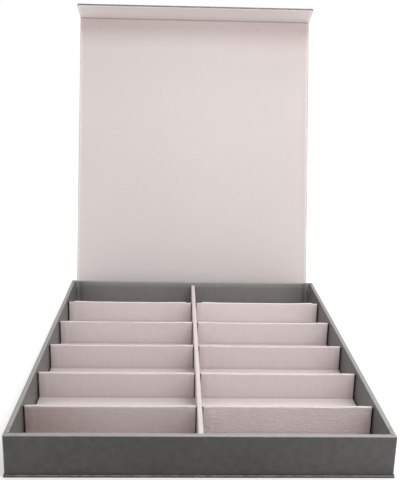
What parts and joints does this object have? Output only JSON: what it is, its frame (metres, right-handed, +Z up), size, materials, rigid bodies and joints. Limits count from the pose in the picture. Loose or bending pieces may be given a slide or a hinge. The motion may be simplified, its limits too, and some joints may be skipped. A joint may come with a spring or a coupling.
{
  "type": "sunglasses display box",
  "caption": "Book-style leatherette display box: shallow tray with a divider and cross partitions, wrap-around cover with spine, leaning lid and magnetic front flap.",
  "frame": {"origin": "centre of the tray's plan, on the underside of the cover's base, where it meets the table", "axes": "+Z up, +X to the right, +Y from the front wall to the hinged back"},
  "size_m": [0.3718, 0.6249, 0.4543],
  "materials": {
    "grey_leatherette": "matte embossed grain",
    "pink_leatherette": "satin pebble grain",
    "board": "matte",
    "foam": "matte",
    "magnet": "plated"
  },
  "bodies": {
    "tray": {"base_cover": "grey_leatherette", "base_board": "board", "tray_front_board": "board", "tray_back_board": "board", "tray_left_board": "board", "tray_right_board": "board", "tray_wrap": "grey_leatherette", "tray_floor_board": "board", "floor_card": "board", "floor_foam": "foam", "floor_lining": "pink_leatherette", "divider_board": "board", "divider_wrap": "pink_leatherette", "partition_board_left_1": "board", "partition_wrap_left_1": "pink_leatherette", "partition_board_left_2": "board", "partition_wrap_left_2": "pink_leatherette", "partition_board_left_3": "board", "partition_wrap_left_3": "pink_leatherette", "partition_board_left_4": "board", "partition_wrap_left_4": "pink_leatherette", "partition_board_left_5": "board", "partition_wrap_left_5": "pink_leatherette", "partition_board_right_1": "board", "partition_wrap_right_1": "pink_leatherette", "partition_board_right_2": "board", "partition_wrap_right_2": "pink_leatherette", "partition_board_right_3": "board", "partition_wrap_right_3": "pink_leatherette", "partition_board_right_4": "board", "partition_wrap_right_4": "pink_leatherette", "partition_board_right_5": "board", "partition_wrap_right_5": "pink_leatherette", "front_magnet_left": "magnet", "front_magnet_right": "magnet", "base_hinge_skin": "grey_leatherette", "base_hinge_lining": "pink_leatherette"},
    "spine": {"spine_cover": "grey_leatherette", "spine_board": "board", "spine_lining": "pink_leatherette", "lid_hinge_skin": "grey_leatherette", "lid_hinge_lining": "pink_leatherette"},
    "lid": {"lid_cover": "grey_leatherette", "lid_board": "board", "lid_lining": "pink_leatherette", "flap_hinge_skin": "grey_leatherette", "flap_hinge_lining": "pink_leatherette"},
    "flap": {"flap_cover": "grey_leatherette", "flap_board": "board", "flap_lining": "pink_leatherette", "flap_magnet_left": "magnet", "flap_magnet_right": "magnet"}
  },
  "joints": [
    {"name": "spine_hinge", "type": "hinge", "parent": "tray", "child": "spine", "pos_m": [0, 0.2265, 0.0003], "axis": [1, 0, 0], "range_deg": [0, 90], "deforming": ["base_hinge_skin", "base_hinge_lining"]},
    {"name": "lid_hinge", "type": "hinge", "parent": "spine", "child": "lid", "pos_m": [0, 0.2733, 0.0003], "axis": [1, 0, 0], "range_deg": [-73.7, 16.3], "deforming": ["lid_hinge_skin", "lid_hinge_lining"]},
    {"name": "flap_hinge", "type": "hinge", "parent": "lid", "child": "flap", "pos_m": [0, 0.40044, 0.43509], "axis": [1, 0, 0], "range_deg": [-80.5, 9.5], "deforming": ["flap_hinge_skin", "flap_hinge_lining"]}
  ]
}
